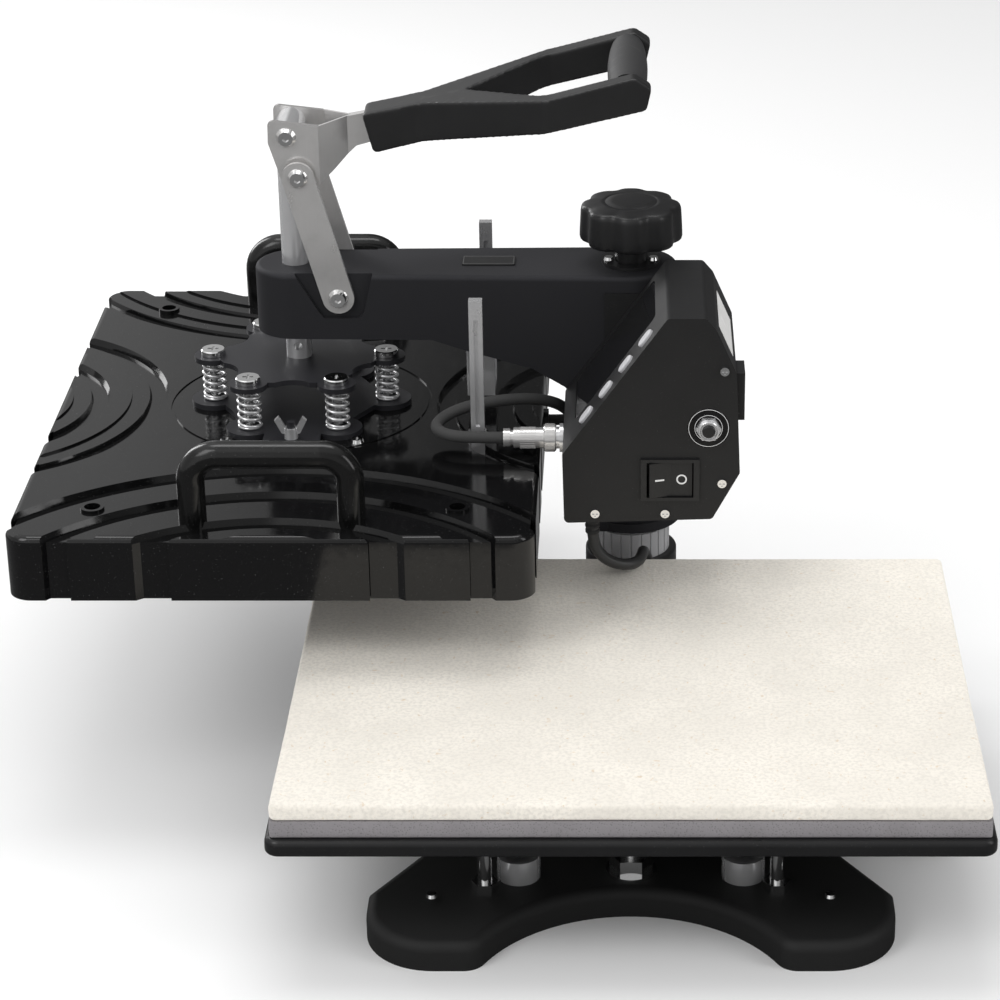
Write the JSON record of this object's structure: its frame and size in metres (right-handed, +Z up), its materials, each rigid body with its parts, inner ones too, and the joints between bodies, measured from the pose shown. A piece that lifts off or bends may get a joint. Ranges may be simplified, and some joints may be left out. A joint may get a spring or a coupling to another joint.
{
  "type": "swing-away heat press",
  "caption": "Swing-away flat heat press: toggle lever, sprung heated upper platen, control box and a padded lower platen on a waisted cast base.",
  "frame": {"origin": "where the swivel column's axis meets the bench", "axes": "+Z up along the column, -Y towards the operator at the front of the lower platen, -X along the arm in its rest pose, swung away to the operator's left"},
  "size_m": [0.545, 0.556, 0.4033],
  "materials": {
    "base_enamel": "textured black enamel",
    "black_rubber": "matt",
    "bright_zinc": "bright zinc",
    "black_plastic": "moulded",
    "silver_paint": "metallic silver",
    "steel": "machined",
    "chrome": "polished",
    "plate_steel": "satin black",
    "grey_foam": "silicone sponge",
    "white_felt": "speckled felt",
    "cord_jacket": "satin",
    "arm_enamel": "textured black enamel",
    "badge": "blank plate",
    "box_enamel": "fine textured black powder coat",
    "panel_enamel": "fine textured black powder coat",
    "window": "gloss black",
    "circuit_board": "solder mask",
    "lead_braid": "braided sleeve",
    "cover_plastic": "glossy moulding",
    "plate_aluminium": "coated",
    "blanket": "glass wool",
    "spider_enamel": "satin black",
    "spring_steel": "drawn wire",
    "black_grip": "foam and plastic",
    "bracket_steel": "nickel plate",
    "button_grey": "satin"
  },
  "bodies": {
    "base": {"base_casting": "base_enamel", "base_feet": "black_rubber", "base_screws": "bright_zinc", "column_socket": "black_plastic", "column_tube": "silver_paint", "platen_pillar": "steel", "level_studs": "bright_zinc", "bumper_cups": "chrome", "hub_nut": "bright_zinc", "lower_plate": "plate_steel", "foam_pad": "grey_foam", "felt_pad": "white_felt", "cord_lower": "cord_jacket", "cord_coil": "cord_jacket", "mains_plug": "cord_jacket"},
    "swivel_post": {"swivel_post": "steel"},
    "arm": {"arm_casting": "arm_enamel", "arm_badge": "badge", "arm_pivot_screws": "bright_zinc", "arm_screws": "bright_zinc", "guide_bracket": "chrome", "knob_collar": "black_plastic", "box_shell": "box_enamel", "side_panel": "panel_enamel", "display_window": "window", "control_board": "circuit_board", "rocker_frame": "black_plastic", "breaker_body": "black_plastic", "heater_socket": "chrome", "lead_connector": "chrome", "strain_relief": "black_rubber", "cord_upper": "cord_jacket", "heater_lead": "lead_braid"},
    "knob": {"knob": "black_plastic", "knob_screw": "steel"},
    "platen": {"platen_cover": "cover_plastic", "heat_plate": "plate_aluminium", "heating_element": "steel", "insulation_blanket": "blanket", "lead_gland": "black_plastic", "lower_spider": "spider_enamel", "spring_screws": "bright_zinc", "springs": "spring_steel", "platen_handles": "black_grip", "guide_bars": "steel"},
    "shaft": {"press_rod": "chrome", "upper_spider": "spider_enamel", "bracket_screws": "bright_zinc"},
    "handle": {"handle_bracket": "bracket_steel", "handle_fork": "black_plastic", "handle_grip": "black_grip"},
    "links": {"toggle_links": "bracket_steel", "link_screws": "bright_zinc"},
    "wing_nut": {"wing_nut": "chrome"},
    "button_1": {"button_1": "button_grey"},
    "button_2": {"button_2": "button_grey"},
    "button_3": {"button_3": "button_grey"},
    "button_4": {"button_4": "button_grey"},
    "rocker": {"rocker_key": "black_plastic"},
    "breaker_button": {"breaker_button": "black_plastic"}
  },
  "joints": [
    {"name": "arm_swing", "type": "hinge", "parent": "base", "child": "swivel_post", "pos_m": [0, 0, 0.2], "axis": [0, 0, 1], "range_deg": [-45, 90], "deforming": ["cord_upper", "cord_lower"]},
    {"name": "head_height", "type": "slide", "parent": "swivel_post", "child": "arm", "axis": [0, 0, 1], "range_m": [0, 0.006]},
    {"name": "knob_turn", "type": "hinge", "parent": "arm", "child": "knob", "pos_m": [0, 0, 0.3], "axis": [0, 0, 1], "range_deg": [0, 1081]},
    {"name": "press_stroke", "type": "slide", "parent": "arm", "child": "platen", "axis": [0, 0, -1], "range_m": [0, 0.0396], "deforming": ["springs", "heater_lead"]},
    {"name": "shaft_drive", "type": "slide", "parent": "arm", "child": "shaft", "axis": [0, 0, -1], "range_m": [0, 0.0518], "deforming": ["springs"]},
    {"name": "handle_pull", "type": "hinge", "parent": "shaft", "child": "handle", "pos_m": [-0.203, 0, 0.3555], "axis": [0, -1, 0], "range_deg": [0, 194.95]},
    {"name": "link_swing", "type": "hinge", "parent": "arm", "child": "links", "pos_m": [-0.1755, 0, 0.257], "axis": [0, -1, 0], "range_deg": [0, 14.9]},
    {"name": "wing_nut_turn", "type": "hinge", "parent": "platen", "child": "wing_nut", "pos_m": [-0.203, -0.064, 0.19], "axis": [0, 0, 1], "continuous": true},
    {"name": "rocker_tilt", "type": "hinge", "parent": "arm", "child": "rocker", "pos_m": [0.0226, -0.123, 0.184], "axis": [0, 0, -1], "range_deg": [0, 14]},
    {"name": "breaker_pop", "type": "slide", "parent": "arm", "child": "breaker_button", "axis": [0, -1, 0], "range_m": [0, 0.004]},
    {"name": "button_1_press", "type": "slide", "parent": "arm", "child": "button_1", "axis": [0.8105, 0, -0.5857], "range_m": [0, 0.0012], "stiffness_N_per_m": 300, "springref_m": -0.001},
    {"name": "button_2_press", "type": "slide", "parent": "arm", "child": "button_2", "axis": [0.8105, 0, -0.5857], "range_m": [0, 0.0012], "stiffness_N_per_m": 300, "springref_m": -0.001},
    {"name": "button_3_press", "type": "slide", "parent": "arm", "child": "button_3", "axis": [0.8105, 0, -0.5857], "range_m": [0, 0.0012], "stiffness_N_per_m": 300, "springref_m": -0.001},
    {"name": "button_4_press", "type": "slide", "parent": "arm", "child": "button_4", "axis": [0.8105, 0, -0.5857], "range_m": [0, 0.0012], "stiffness_N_per_m": 300, "springref_m": -0.001}
  ],
  "couplings": [
    {"joint": "shaft_drive", "follows": "press_stroke", "ratio": 1.306},
    {"joint": "handle_pull", "follows": "press_stroke", "rad_per_m": 85.878},
    {"joint": "link_swing", "follows": "press_stroke", "rad_per_m": 6.5445},
    {"joint": "knob_turn", "follows": "head_height", "rad_per_m": 3141.6}
  ]
}
